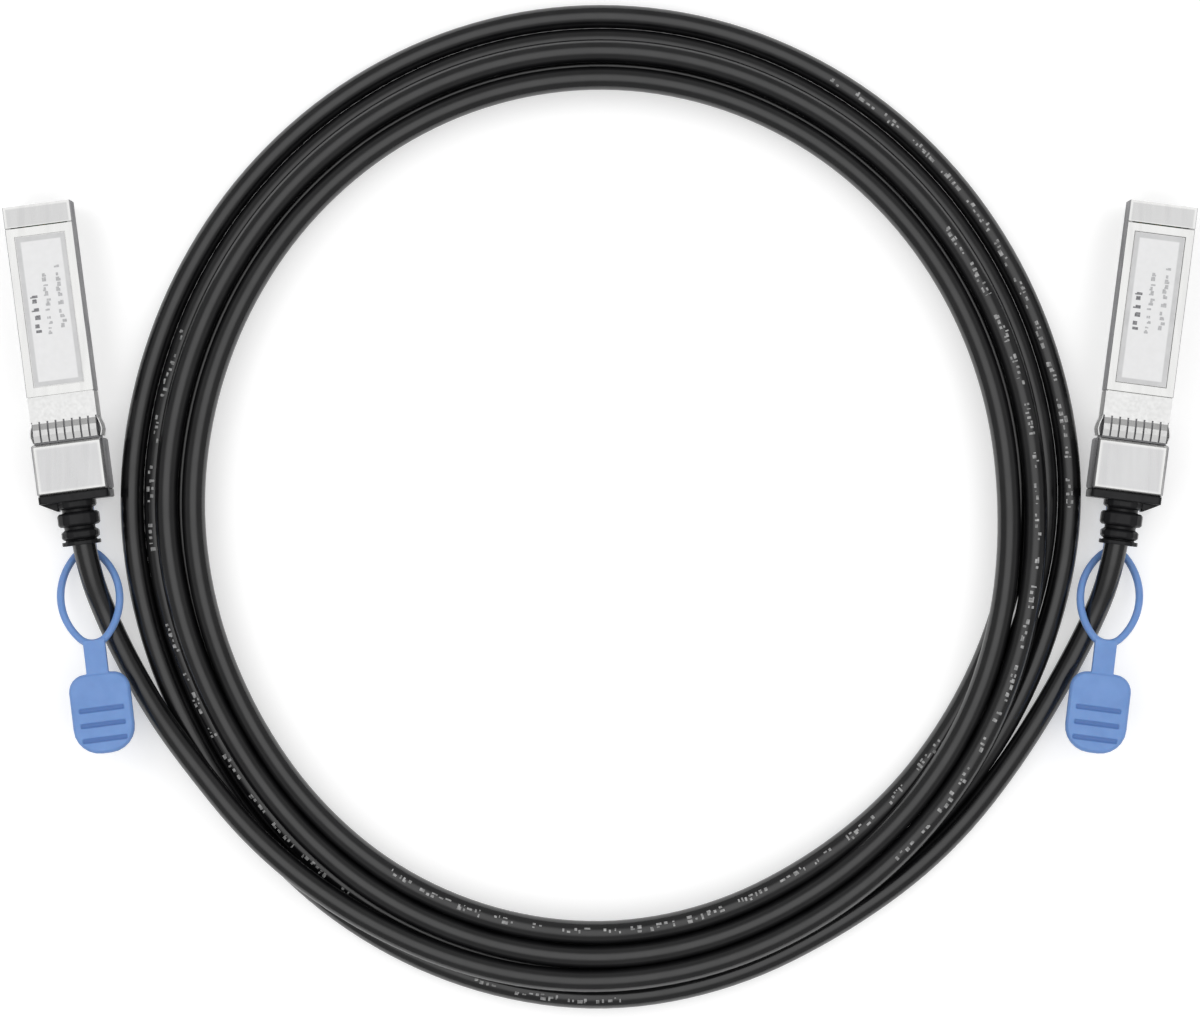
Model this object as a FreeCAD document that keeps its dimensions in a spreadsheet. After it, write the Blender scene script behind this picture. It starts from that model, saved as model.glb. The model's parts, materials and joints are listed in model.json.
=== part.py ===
import FreeCAD, Part
import math
import os
import Sketcher
from FreeCAD import Placement, Rotation, Vector

# A direct attach copper cable: two pluggable metal ends joined by one long black twinax
# cable, which lies in a round coil between them. All sizes are millimetres.
#
# Frame of the whole cable: +Z up from the surface it lies on, +X to the right-hand plug,
# +Y towards the ends that go into the host. Both plugs are built alike in a frame of their
# own and then placed: there x runs across the plug, y towards the host from the positive
# stop (the front face of the rear block), and z up from the resting surface.

# ---------------------------------------------------------------- driving sizes
SIZES = {
    # where the plugs lie
    "plug_spread": 105.8,       # centre line of the cable to each plug's stop
    "plug_tilt": 7.4,           # degrees that each plug leans outwards
    # the pluggable shell
    "body_width": 13.4,
    "body_height": 8.5,
    "body_length": 47.5,        # host end to positive stop
    "body_lift": 1.7,           # underside of the shell over the resting surface
    "side_wall": 1.0,
    "floor_wall": 0.9,
    "roof_wall": 1.0,
    "edge_chamfer": 1.1,        # long lower edges
    "nose_bridge": 4.2,         # band of the base that closes the mouth on top
    "seam_gap": 0.2,
    "fit_gap": 0.05,            # between fixed pieces that sit in one another
    # label and its recess in the cover
    "recess_front": 6.1,        # from the host end
    "recess_end": 11.3,         # ahead of the stop
    "recess_width": 10.1,
    "recess_depth": 0.3,
    "label_thick": 0.12,
    "label_margin": 0.15,
    # spring-fingered collar that grounds the plug to the cage
    "collar_front": 9.5,        # ahead of the stop
    "finger_root": 4.5,
    "finger_tip": 0.4,
    "collar_sink": 0.25,        # depth of the waist that the collar lies in
    "collar_thick": 0.2,
    "finger_rise": 0.6,
    "finger_pitch": 1.62,
    "finger_slot": 0.35,
    # rear block
    "block_length": 10.3,
    "block_width": 14.2,
    "block_rise": 0.8,          # above the shell's top
    "block_bevel": 0.5,
    "corner_round": 0.6,
    # cable and what grips it
    "cable_diameter": 4.7,
    "cable_height": 6.4,        # cable axis over the resting surface, in the plug
    "braid_diameter": 3.6,
    "braid_reach": 1.0,         # bare braid ahead of the stop
    "ferrule_diameter": 5.5,
    "ferrule_length": 5.2,
    "ferrule_back": 7.6,        # rear end of the ferrule behind the stop
    "anchor_diameter": 7.2,
    "anchor_length": 1.0,
    "neck_diameter": 6.0,
    "neck_length": 0.8,
    # circuit card
    "card_width": 9.2,
    "card_thick": 1.0,
    "card_recess": 3.2,         # card edge behind the host end
    "card_end": 10.0,           # ahead of the stop
    "card_lift": 2.25,          # card underside over the shell's underside
    "card_nose": 0.3,
    "rail_inset": 1.0,          # rails shorter than the card at each end
    "rail_ledge": 0.6,          # what the card's long edges lie on
    "rail_guide": 0.6,          # over the card, beside it
    "post_side": 1.6,           # posts of the cover that hold the card down
    "post_spread": 3.4,
    "post_place": 9.0,          # ahead of the card's end
    "skirt_thick": 0.7,
    "skirt_drop": 1.3,
    "skirt_length": 12.0,
    "pad_pitch": 0.8,
    "pad_width": 0.55,
    "pad_length": 3.4,
    "pad_thick": 0.06,
    "pad_inset": 0.6,
    "chip_side": 3.0,
    "chip_height": 0.75,
    "chip_place": 13.5,         # ahead of the card's end
    "wire_diameter": 0.8,
    "wire_straight": 2.2,       # ahead of the braid's end
    "wire_bend": 2.6,           # wires reach the card's height this far behind its end
    "wire_landing": 3.5,        # and run this far onto it
    "solder_gap": 0.02,
    # latch lever, its pin and its spring
    "lever_width": 2.6,
    "lever_thick": 0.7,
    "lever_tip": 6.4,           # ahead of the stop
    "lever_room": 0.5,          # free space ahead of the tip
    "pocket_rise": 1.25,        # roof of the lever's pocket over the shell's underside
    "boss_shoulder": 2.5,
    "boss_length": 2.5,
    "boss_flat": 0.6,
    "boss_drop": 0.45,          # below the shell's underside
    "cam_drop": 0.21,           # cam face below the lever's arm
    "cam_back": 3.6,            # its rear end behind the slider's front
    "cam_flat": 1.3,
    "cam_ramp": 1.7,
    "pivot_back": 7.2,          # pin axis behind the stop
    "pin_diameter": 0.8,
    "pin_length": 8.2,
    "eye_diameter": 1.6,
    "run_gap": 0.04,            # radial play of the lever on its pin
    "spring_thick": 0.15,
    "spring_width": 2.2,
    # release slider
    "slider_width": 7.0,
    "slider_thick": 0.6,
    "slider_low": 0.45,
    "slider_front": 0.7,        # behind the stop
    "slider_back": 9.3,
    "slider_travel": 2.2,
    "slider_play": 0.1,
    "lip_width": 0.8,
    "tail_width": 4.0,
    "tail_back": 14.4,
    # pull ring
    "strap_width": 4.4,
    "strap_thick": 1.3,
    "strap_height": 1.0,        # middle of the strap over the resting surface
    "strap_front": 12.3,        # behind the stop
    "ring_start": 21.4,
    "ring_width": 13.3,
    "ring_length": 20.9,
    "ring_strand": 1.5,
    "ring_tilt": 19.2,          # degrees
    "neck_run": 6.0,
    "paddle_tilt": 4.4,         # degrees
    "paddle_width": 12.2,
    "paddle_length": 16.0,
    "paddle_thick": 2.0,
    "paddle_shoulder": 3.4,     # corner radius beside the neck
    "paddle_end_round": 5.2,
    "paddle_edge": 0.5,
    "groove_width": 0.9,
    "groove_depth": 0.3,
    "groove_pitch": 3.0,
    "groove_first": 7.2,        # behind the paddle's front edge
    "groove_inset": 1.6,
    # boot
    "flange_width": 14.0,
    "flange_thick": 1.6,
    "boot_length": 10.4,        # behind the shell
    "sleeve_diameter": 6.2,
    "shoulder_length": 1.5,
    "rib_width": 8.2,
    "rib_height": 8.0,
    "rib_round": 2.8,
    "rib_edge": 0.4,
    "rib_gap": 0.8,
    "long_rib": 2.7,
    "lip_thick": 0.8,
    "lip_width_across": 7.6,
    "gusset_width": 3.4,
    "gusset_length": 1.8,
    "gusset_drop": 2.0,         # below the cable's axis
    "gusset_rise": 2.4,         # above it
    "mouth_flare": 0.4,
    "mouth_length": 4.5,
    # screws that close the shell
    "screw_spread": 5.4,
    "screw_back": 5.2,
    "screw_diameter": 1.6,
    "head_diameter": 2.4,
    "head_thick": 0.9,
    "head_sink": 0.15,          # head over the resting surface
    "screw_play": 0.3,
    "screw_end": 1.45,          # below the shell's top
    # leads and coil
    "lead_straight": 23.4,      # behind the stop
    "coil_x": 0.2,
    "coil_back": 13.13,         # middle of the coil behind the stops
    "coil_across": 192.4,       # outer size along X
    "coil_along": 201.4,        # outer size along Y
    "coil_width": 17.7,         # from the innermost to the outermost strand's outside
    "coil_height": 9.0,
}

doc = FreeCAD.newDocument("DirectAttachCable")
sheet = doc.addObject("Spreadsheet::Sheet", "Sizes")
for row, (alias, number) in enumerate(SIZES.items(), 1):
    sheet.set(f"A{row}", alias)
    sheet.set(f"B{row}", str(number))
    sheet.setAlias(f"B{row}", alias)
doc.recompute()


class Size:
    """A length worked out from the sheet: its value now, and the expression that follows the sheet."""

    def __init__(self, value, text):
        self.value = value
        self.text = text

    def __float__(self):
        return self.value

    def __neg__(self):
        return Size(-self.value, f"(-1 * {self.text})")

    def __add__(self, other):
        other = as_size(other)
        return Size(self.value + other.value, f"({self.text} + {other.text})")

    def __sub__(self, other):
        other = as_size(other)
        return Size(self.value - other.value, f"({self.text} - {other.text})")

    def __mul__(self, factor):
        return Size(self.value * factor, f"({self.text} * {factor})")

    def __truediv__(self, factor):
        return Size(self.value / factor, f"({self.text} / {factor})")

    def __radd__(self, other):
        return as_size(other) + self

    def __rsub__(self, other):
        return as_size(other) - self


def as_size(item):
    return item if isinstance(item, Size) else Size(float(item), f"({float(item)})")


class Sheet:
    """The sheet's sizes by name, such as S.body_width."""


S = Sheet()
for alias in SIZES:
    setattr(S, alias, Size(float(sheet.get(alias)), "Sizes." + alias))

# heights and places that several pieces share, in the plug's frame
body_top = S.body_lift + S.body_height
roof_low = body_top - S.roof_wall
floor_top = S.body_lift + S.floor_wall
card_low = S.body_lift + S.card_lift
card_top = card_low + S.card_thick
card_front = S.body_length - S.card_recess
card_back = S.card_end
jacket_end = -S.block_length + S.neck_length + S.anchor_length
pivot_height = S.body_lift + 0.05
lever_low = S.body_lift + 0.05
pocket_half = S.lever_width / 2 + 0.5
slot_top = S.slider_low + S.slider_thick + 0.05
screw_top = body_top - S.screw_end


# ---------------------------------------------------------------- building blocks
def bind(item, prop, size):
    item.setExpression(prop, as_size(size).text)


def wide(size):
    """Low and high side of a width that is centred on the plug."""
    return -size / 2, size / 2


def box(name, across, along, up):
    """A rectangular block between the low and high size given for each axis."""
    block = doc.addObject("Part::Box", name)
    for edge, axis, (low, high) in zip(("Length", "Width", "Height"), "xyz", (across, along, up)):
        bind(block, edge, as_size(high) - low)
        bind(block, "Placement.Base." + axis, low)
    return block


def rod(name, axis, diameter, start, length):
    """A cylinder along one axis from its start point."""
    turns = {"x": Rotation(Vector(0, 1, 0), 90), "y": Rotation(Vector(1, 0, 0), -90), "z": Rotation()}
    cylinder = doc.addObject("Part::Cylinder", name)
    cylinder.Placement = Placement(Vector(), turns[axis])
    bind(cylinder, "Radius", diameter / 2)
    bind(cylinder, "Height", length)
    for letter, place in zip("xyz", start):
        bind(cylinder, "Placement.Base." + letter, place)
    return cylinder


def fuse(name, *shapes):
    item = doc.addObject("Part::MultiFuse", name)
    item.Shapes = list(shapes)
    item.Refine = True
    return item


def cut(name, base, *tools):
    item = doc.addObject("Part::Cut", name)
    item.Base = base
    item.Tool = tools[0] if len(tools) == 1 else fuse(name + "_tools", *tools)
    return item


def group(name, *shapes):
    item = doc.addObject("Part::Compound", name)
    item.Links = list(shapes)
    return item


def prism(name, plane, corners, low, high):
    """A body padded from a closed outline of straight edges, from low to high along the plane's axis.

    XY outlines are (x, y), XZ outlines (x, z) and YZ outlines (y, z)."""
    body = doc.addObject("PartDesign::Body", name)
    sketch = body.newObject("Sketcher::SketchObject", name + "_outline")
    origin_plane = next(part for part in body.Origin.OriginFeatures if part.Role == plane)
    sketch.AttachmentSupport = [(origin_plane, "")]
    sketch.MapMode = "FlatFace"
    # the XZ plane faces -Y, so its pad starts at the high side and runs back to the low one
    bind(sketch, "AttachmentOffset.Base.z", -as_size(high) if plane == "XZ_Plane" else low)
    points = [Vector(float(u), float(v), 0) for u, v in corners]
    for start, end in zip(points, points[1:] + points[:1]):
        sketch.addGeometry(Part.LineSegment(start, end))
    for edge in range(len(points)):
        sketch.addConstraint(Sketcher.Constraint("Coincident", edge, 2, (edge + 1) % len(points), 1))
    for edge, (point, corner) in enumerate(zip(points, corners)):
        for kind, reach, size in zip(("DistanceX", "DistanceY"), point, corner):
            index = sketch.addConstraint(Sketcher.Constraint(kind, -1, 1, edge, 1, reach))
            bind(sketch, f"Constraints[{index}]", size)
    pad = body.newObject("PartDesign::Pad", name + "_pad")
    pad.Profile = sketch
    bind(pad, "Length", as_size(high) - low)
    return body


def soften(body, radius, chosen, kind="Fillet"):
    """Rounds, or chamfers, the edges of a body for which chosen(edge) is true."""
    doc.recompute()
    tip = body.Tip
    names = [f"Edge{n}" for n, edge in enumerate(tip.Shape.Edges, 1) if chosen(edge)]
    feature = body.newObject("PartDesign::" + kind, body.Name + "_" + kind.lower())
    feature.Base = (tip, names)
    bind(feature, "Radius" if kind == "Fillet" else "Size", radius)
    return body


def runs_along(edge, axis):
    """True for a straight edge along x (0), y (1) or z (2)."""
    if edge.Curve.TypeId != "Part::GeomLine":
        return False
    return abs(abs(edge.Curve.Direction[axis]) - 1) < 1e-6


def rounded_outline(across, upward, corners, facets):
    """A rectangle's outline between the low and high size of each way, its corners rounded in facets.

    corners gives the radius at the low-low, high-low, high-high and low-high corner."""
    outline = []
    places = ((0, 0, 180), (1, 0, 270), (1, 1, 0), (0, 1, 90))
    for (u_side, v_side, turn), radius in zip(places, corners):
        for step in range(facets + 1):
            angle = math.radians(turn + 90 * step / facets)
            u_in = round(1 - 2 * u_side + math.cos(angle), 9)
            v_in = round(1 - 2 * v_side + math.sin(angle), 9)
            outline.append((across[u_side] + radius * u_in, upward[v_side] + radius * v_in))
    return outline


def shell_section(inset):
    """The shell's outline across its length, drawn in by inset: square on top, chamfered below."""
    half = S.body_width / 2 - inset
    low = S.body_lift + inset
    high = body_top - inset
    # drawing a 45 degree chamfer in by some distance shortens its legs by 0.586 of it
    leg = S.edge_chamfer - as_size(inset) * 0.586
    return [(-half, high), (-half, low + leg), (-half + leg, low),
            (half - leg, low), (half, low + leg), (half, high)]


# ---------------------------------------------------------------- shell
def waist(name, low, high):
    """What the collar's waist takes off the shell between two heights."""
    core = prism(name + "_core", "XZ_Plane", shell_section(S.collar_sink), 0, S.collar_front)
    around = box(name + "_around", wide(S.body_width + 2), (0, S.collar_front), (low, high))
    return cut(name, around, core)


def cable_channel(name):
    """The stepped bore in the rear block: neck and anchor of the boot, ferrule and braid."""
    axis = S.cable_height

    def step(label, diameter, back, front):
        return rod(name + label, "y", diameter + S.fit_gap * 2, (0, back, axis), front - back)

    anchor_back = -S.block_length + S.neck_length
    ferrule_front = S.ferrule_length - S.ferrule_back
    return fuse(
        name,
        step("_neck", S.neck_diameter, -S.block_length - 1, anchor_back + 0.01),
        step("_anchor", S.anchor_diameter, anchor_back, jacket_end),
        step("_braid", S.braid_diameter, jacket_end - 0.01, S.braid_reach),
        step("_ferrule", S.ferrule_diameter, -S.ferrule_back - S.fit_gap, ferrule_front + S.fit_gap),
    )


def rear_block(name, low, high, top_half):
    """Half of the rear block: rounded upright corners, its outer end bevelled all round."""
    half = S.block_width / 2
    corners = [(-half, -S.block_length), (half, -S.block_length), (half, 0), (-half, 0)]
    block = prism(name, "XY_Plane", corners, low, high)
    soften(block, S.corner_round, lambda edge: runs_along(edge, 2))
    level = float(high) if top_half else float(low)
    bevel = S.block_bevel if top_half else S.corner_round * 0.5

    def on_outer_end(edge):
        return abs(edge.BoundBox.ZMin - level) + abs(edge.BoundBox.ZMax - level) < 1e-6

    return soften(block, bevel, on_outer_end, "Chamfer")


def screw_holes(name, diameter, low, high):
    return [
        rod(f"{name}_{sign}", "z", diameter, (S.screw_spread * sign, -S.screw_back, low), as_size(high) - low)
        for sign in (-1, 1)
    ]


def housing_base(name):
    """The die-cast lower shell: a trough with a bridged nose, card rails and half of the rear block."""
    half = S.body_width / 2
    inner = half - S.side_wall
    low = S.body_lift
    leg = S.edge_chamfer
    trough = prism(
        name + "_trough", "XZ_Plane",
        [(-half, roof_low), (-half, low + leg), (-half + leg, low), (half - leg, low), (half, low + leg),
         (half, roof_low), (inner, roof_low), (inner, floor_top), (-inner, floor_top), (-inner, roof_low)],
        0, S.body_length)
    bridge = box(name + "_bridge", wide(S.body_width), (S.body_length - S.nose_bridge, S.body_length),
                 (roof_low, body_top))
    rail_span = (card_back + S.rail_inset, card_front - S.rail_inset)
    rails = []
    for sign in (-1, 1):
        edge = S.card_width / 2 + S.fit_gap
        ledge = sorted((inner * sign, (edge - S.rail_ledge) * sign), key=float)
        guide = sorted((inner * sign, edge * sign), key=float)
        rails.append(box(name + "_rail", ledge, rail_span, (floor_top, card_low)))
        rails.append(box(name + "_guide", guide, rail_span, (card_low, card_top + S.rail_guide)))
    block = rear_block(name + "_block", 0, S.cable_height, False)
    solid = fuse(name + "_casting", trough, bridge, block, *rails)

    slot_half = S.slider_width / 2 + S.slider_play
    slot_span = (-S.block_length - 1, -S.slider_front + S.slider_play * 2)
    pocket = wide(pocket_half * 2)
    pocket_back = -S.pivot_back - S.eye_diameter / 2 - S.slider_play
    bore_start = -S.pin_length / 2 - S.fit_gap
    tools = [
        waist(name + "_waist", 0, roof_low),
        cable_channel(name + "_channel"),
        box(name + "_slot_mouth", wide((slot_half - S.lip_width) * 2), slot_span, (-1, S.slider_low)),
        box(name + "_slot", wide(slot_half * 2), slot_span, (S.slider_low - S.fit_gap, slot_top)),
        box(name + "_pocket", pocket, (pocket_back, 0.5), (slot_top - 0.01, S.body_lift + S.pocket_rise)),
        box(name + "_window", pocket, (0, S.lever_tip + S.lever_room), (0, floor_top + 0.3)),
        rod(name + "_pin_bore", "x", S.pin_diameter + 0.02, (bore_start, -S.pivot_back, pivot_height),
            S.pin_length + S.fit_gap * 2),
    ]
    tools += screw_holes(name + "_clearance", S.screw_diameter + S.screw_play, 0.5, S.cable_height + 1)
    tools += screw_holes(name + "_counterbore", S.head_diameter + 0.2, -1, S.head_thick + S.head_sink)
    return cut(name, solid, *tools)


def housing_cover(name):
    """The die-cast upper shell: a recessed lid, hold-down posts and the upper half of the rear block."""
    half = S.body_width / 2
    front = S.body_length - S.nose_bridge - S.seam_gap
    lid = box(name + "_lid", wide(S.body_width), (0, front), (roof_low, body_top))
    block = rear_block(name + "_block", S.cable_height, body_top + S.block_rise, True)
    skirt_out = half - S.side_wall - S.fit_gap
    skirt_span = (card_back, card_back + S.skirt_length)
    post_y = card_back + S.post_place
    post_span = (post_y - S.post_side / 2, post_y + S.post_side / 2)
    fittings = []
    for sign in (-1, 1):
        side = sorted((skirt_out * sign, (skirt_out - S.skirt_thick) * sign), key=float)
        post_x = S.post_spread * sign
        post_across = (post_x - S.post_side / 2, post_x + S.post_side / 2)
        fittings.append(box(name + "_skirt", side, skirt_span, (roof_low - S.skirt_drop, roof_low)))
        fittings.append(box(name + "_post", post_across, post_span, (card_top, roof_low + 0.1)))
    solid = fuse(name + "_casting", lid, block, *fittings)
    recess = box(name + "_recess", wide(S.recess_width), (S.recess_end, S.body_length - S.recess_front),
                 (body_top - S.recess_depth, body_top + 1))
    threads = screw_holes(name + "_thread", S.screw_diameter + 0.02, S.cable_height - 1, screw_top + 0.25)
    return cut(name, solid, recess, waist(name + "_waist", roof_low, body_top + 0.3),
               cable_channel(name + "_channel"), *threads)


def label(name):
    """The blank label in the cover's recess."""
    low = body_top - S.recess_depth
    film = box(name + "_film", wide(S.recess_width - S.label_margin * 2),
               (S.recess_end + S.label_margin, S.body_length - S.recess_front - S.label_margin),
               (low, low + S.label_thick))
    return group(name, film)


def cover_screws(name):
    """Two machine screws, driven from below into the cover."""
    screws = []
    shank_low = S.head_sink + S.head_thick - 0.1
    for sign in (-1, 1):
        x = S.screw_spread * sign
        head = rod(name + "_head", "z", S.head_diameter, (x, -S.screw_back, S.head_sink), S.head_thick)
        shank = rod(name + "_shank", "z", S.screw_diameter, (x, -S.screw_back, shank_low),
                    screw_top - shank_low)
        screws.append(fuse(name + "_screw", head, shank))
    return group(name, *screws)


# ---------------------------------------------------------------- grounding collar
def emi_collar(name):
    """A folded spring-metal sleeve round the shell's waist with a row of bowed fingers on each side."""
    outer_inset = S.collar_sink - S.collar_thick
    outside = prism(name + "_outer", "XZ_Plane", shell_section(outer_inset), S.finger_root,
                    S.collar_front - S.seam_gap)
    inside = prism(name + "_inner", "XZ_Plane", shell_section(S.collar_sink), S.finger_root - 1,
                   S.collar_front + 1)
    lever_gap = box(name + "_gap", wide(pocket_half * 2 + 0.4),
                    (0, S.lever_tip + S.lever_room + 0.2), (0, floor_top))
    band = cut(name + "_band", outside, inside, lever_gap)

    # one finger in side view, on the top of the shell: root, rise, crown and lowered free end
    low = body_top - S.collar_sink
    root = S.finger_root
    reach = S.finger_root - S.finger_tip
    rise = S.finger_rise
    line = [(root + 0.3, low), (root - reach * 0.1, low), (root - reach * 0.4, low + rise * 0.7),
            (root - reach * 0.68, low + rise), (S.finger_tip, low + rise * 0.45)]
    lifted = [(y, z + S.collar_thick) for y, z in reversed(line)]
    profile = line + lifted

    def row(count, pitch, turn, x, z, skip=()):
        """Fingers side by side, turned about the plug's length and carried to their face."""
        fingers = []
        for place in range(count):
            if place in skip:
                continue
            offset = (place - (count - 1) / 2) * pitch
            finger = prism(name + "_finger", "YZ_Plane", profile,
                           -(S.finger_pitch - S.finger_slot) / 2, (S.finger_pitch - S.finger_slot) / 2)
            along = Vector(math.cos(math.radians(turn)), 0, -math.sin(math.radians(turn)))
            finger.Placement = Placement(Vector(x, 0, z) + along * offset, Rotation(Vector(0, 1, 0), turn))
            fingers.append(finger)
        return fingers

    pitch = float(S.finger_pitch)
    side_pitch = pitch * 1.06
    side = float(S.body_width / 2 - body_top)
    middle = float(S.body_lift + S.body_height / 2)
    fingers = row(8, pitch, 0, 0, 0)
    fingers += row(4, side_pitch, 90, side, middle)
    fingers += row(4, side_pitch, -90, -side, middle)
    fingers += row(7, pitch, 180, 0, middle * 2, skip=(2, 3, 4))
    return fuse(name, band, *fingers)


# ---------------------------------------------------------------- card and wiring
def paddle_card(name):
    """The circuit card whose bevelled edge is the plug's contact tongue."""
    nose = S.card_nose
    return prism(
        name, "YZ_Plane",
        [(card_back, card_low), (card_front - nose * 2, card_low), (card_front, card_low + nose),
         (card_front, card_top - nose), (card_front - nose * 2, card_top), (card_back, card_top)],
        -S.card_width / 2, S.card_width / 2)


def card_contacts(name):
    """Ten gold pads on each face of the card's edge."""
    pads = []
    front = card_front - S.pad_inset
    for low in (card_top, card_low - S.pad_thick):
        for place in range(10):
            middle = S.pad_pitch * (place - 4.5)
            # the supply and ground pads reach further forward than the signal pads
            lead = 0.0 if place in (0, 4, 5, 9) else 0.4
            pads.append(box(name + "_pad", (middle - S.pad_width / 2, middle + S.pad_width / 2),
                            (front - S.pad_length, front - lead), (low, low + S.pad_thick)))
    return group(name, *pads)


def memory_chip(name):
    """The small memory that tells the host what cable this is."""
    x = -1.8
    y = card_back + S.chip_place
    half = S.chip_side / 2
    corners = [(x - half, y - half), (x + half, y - half), (x + half, y + half), (x - half, y + half)]
    chip = prism(name, "XY_Plane", corners, card_top, card_top + S.chip_height)
    return soften(chip, 0.15, lambda edge: runs_along(edge, 2), "Chamfer")


def cable_path(points):
    """Straight runs joined by tangent arcs, each arc as large as its two runs allow."""
    edges = []
    radii = []
    here = points[0]
    for before, corner, after in zip(points, points[1:], points[2:]):
        come = (corner - before).normalize()
        go = (after - corner).normalize()
        half_turn = come.getAngle(go) / 2
        reach = 0.45 * min(before.distanceToPoint(corner), corner.distanceToPoint(after))
        radius = reach / math.tan(half_turn)
        start = corner - come * reach
        end = corner + go * reach
        inward = (go - come).normalize()
        middle = corner + inward * (radius / math.cos(half_turn) - radius)
        edges.append(Part.LineSegment(here, start).toShape())
        edges.append(Part.Arc(start, middle, end).toShape())
        radii.append(radius)
        here = end
    edges.append(Part.LineSegment(here, points[-1]).toShape())
    return Part.Wire(edges), radii


def tube(name, points, diameter):
    """A round tube along a path, as a feature of the document; its volume is checked."""
    path, radii = cable_path(points)
    section = Part.Wire(Part.Circle(points[0], points[1] - points[0], diameter / 2).toShape())
    shape = path.makePipeShell([section], True, True)
    expected = math.pi * diameter ** 2 / 4 * path.Length
    if abs(shape.Volume / expected - 1) > 0.01:
        raise ValueError(f"{name}: swept volume {shape.Volume:.1f}, expected {expected:.1f}")
    item = doc.addObject("Part::Feature", name)
    item.Shape = shape
    print(f"{name}: length {path.Length:.1f}, bend radii", [round(radius, 1) for radius in radii])
    return item


def wire_pairs(name):
    """Four insulated conductors that fan out from the braid to the card: one pair above it, one below."""
    radius = float(S.wire_diameter) / 2
    axis = float(S.cable_height)
    start = float(S.braid_reach)
    lying = radius + float(S.solder_gap)
    above = float(card_top) + lying
    below = float(card_low) - lying
    straight_end = start + float(S.wire_straight)
    bend_end = float(card_back) - float(S.wire_bend)
    landing = float(card_back) + float(S.wire_landing)
    wires = []
    for x_start, z_start, x_end, z_end in (
        (0.5, axis + 0.5, 1.4, above), (1.3, axis - 0.2, 2.6, above),
        (-0.5, axis - 0.6, -1.9, below), (-1.3, axis + 0.2, -3.1, below),
    ):
        points = [Vector(x_start, start, z_start), Vector(x_start, straight_end, z_start),
                  Vector(x_end, bend_end, z_end), Vector(x_end, landing, z_end)]
        rim = Part.makePolygon([
            points[0] + Vector(math.cos(math.radians(turn)), 0, math.sin(math.radians(turn))) * radius
            for turn in range(0, 405, 45)
        ])
        wire = doc.addObject("Part::Feature", name + "_wire")
        wire.Shape = Part.makePolygon(points).makePipeShell([rim], True, True, 1)
        wires.append(wire)
    return group(name, *wires)


def shield_braid(name):
    """The cable's braided core, bared of its jacket inside the rear block."""
    start = (0, jacket_end, S.cable_height)
    core = rod(name + "_core", "y", S.braid_diameter, start, S.braid_reach - jacket_end)
    return group(name, core)


def crimp_ferrule(name):
    """The ring crimped on the braid, which the rear block holds in its groove."""
    axis = S.cable_height
    length = S.ferrule_length
    ring = rod(name + "_outside", "y", S.ferrule_diameter, (0, -S.ferrule_back, axis), length)
    bore = rod(name + "_bore", "y", S.braid_diameter + S.fit_gap, (0, -S.ferrule_back - 1, axis), length + 2)
    return cut(name, ring, bore)


# ---------------------------------------------------------------- strain relief
def boot(name, outer):
    """The moulded boot: an anchor in the rear block, a flange with a gusset, and a sleeve with ribs.

    outer is -1 or 1, the side that faces away from the coil."""
    axis = S.cable_height
    back = -S.block_length
    flange_back = back - S.flange_thick
    tail = back - S.boot_length

    def rib(label, width, low, high):
        half = S.rib_height / 2
        section = rounded_outline(wide(width), (axis - half, axis + half), [S.rib_round] * 4, 3)
        piece = prism(name + label, "XZ_Plane", section, low, high)
        return soften(piece, S.rib_edge, lambda edge: edge.BoundBox.YLength < 1e-6, "Chamfer")

    flange_rise = (as_size(0.1), body_top + S.block_rise - 0.1)
    flange = prism(name + "_flange", "XZ_Plane",
                   rounded_outline(wide(S.flange_width), flange_rise, [S.corner_round] * 4, 2),
                   flange_back, back)
    tip = S.flange_width / 2 * outer
    root = (S.flange_width / 2 - S.gusset_width) * outer
    gusset = prism(name + "_gusset", "XY_Plane",
                   [(tip, flange_back), (root, flange_back - S.gusset_length),
                    (root, flange_back + 0.1), (tip, flange_back + 0.1)],
                   axis - S.gusset_drop, axis + S.gusset_rise)

    # rearwards from the flange: shoulder, gap, long rib, gap, short rib, half a gap and the end lip
    shoulder_low = flange_back - S.shoulder_length
    long_high = shoulder_low - S.rib_gap
    long_low = long_high - S.long_rib
    lip_high = tail + S.lip_thick
    ribs = [
        rib("_shoulder", S.rib_width - 0.6, shoulder_low, flange_back + 0.5),
        rib("_long_rib", S.rib_width, long_low, long_high),
        rib("_short_rib", S.rib_width - 0.8, lip_high + S.rib_gap / 2, long_low - S.rib_gap),
    ]
    lip_half = S.lip_width_across / 2
    lip = prism(name + "_lip", "XZ_Plane",
                rounded_outline((-lip_half, lip_half), (axis - lip_half, axis + lip_half),
                                [S.rib_round] * 4, 3),
                tail, lip_high)
    sleeve = rod(name + "_sleeve", "y", S.sleeve_diameter, (0, tail, axis), S.boot_length - 0.5)
    neck = rod(name + "_neck", "y", S.neck_diameter, (0, back - 0.5, axis), S.neck_length + 0.6)
    anchor = rod(name + "_anchor", "y", S.anchor_diameter, (0, back + S.neck_length, axis), S.anchor_length)
    solid = fuse(name + "_moulding", flange, gusset, neck, anchor, sleeve, lip, *ribs)
    bore = rod(name + "_bore", "y", S.cable_diameter + S.fit_gap * 2, (0, tail - 1, axis), S.boot_length + 4)
    # the bore is wider at the end, where the cable starts to bend
    mouth = rod(name + "_mouth", "y", S.cable_diameter + S.mouth_flare * 2, (0, tail - 1, axis),
                S.mouth_length + 1)
    notch = box(name + "_notch", wide(S.slider_width + 0.6), (flange_back - 1, back + 0.5),
                (-1, slot_top + 0.4))
    return cut(name, solid, bore, mouth, notch)


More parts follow.
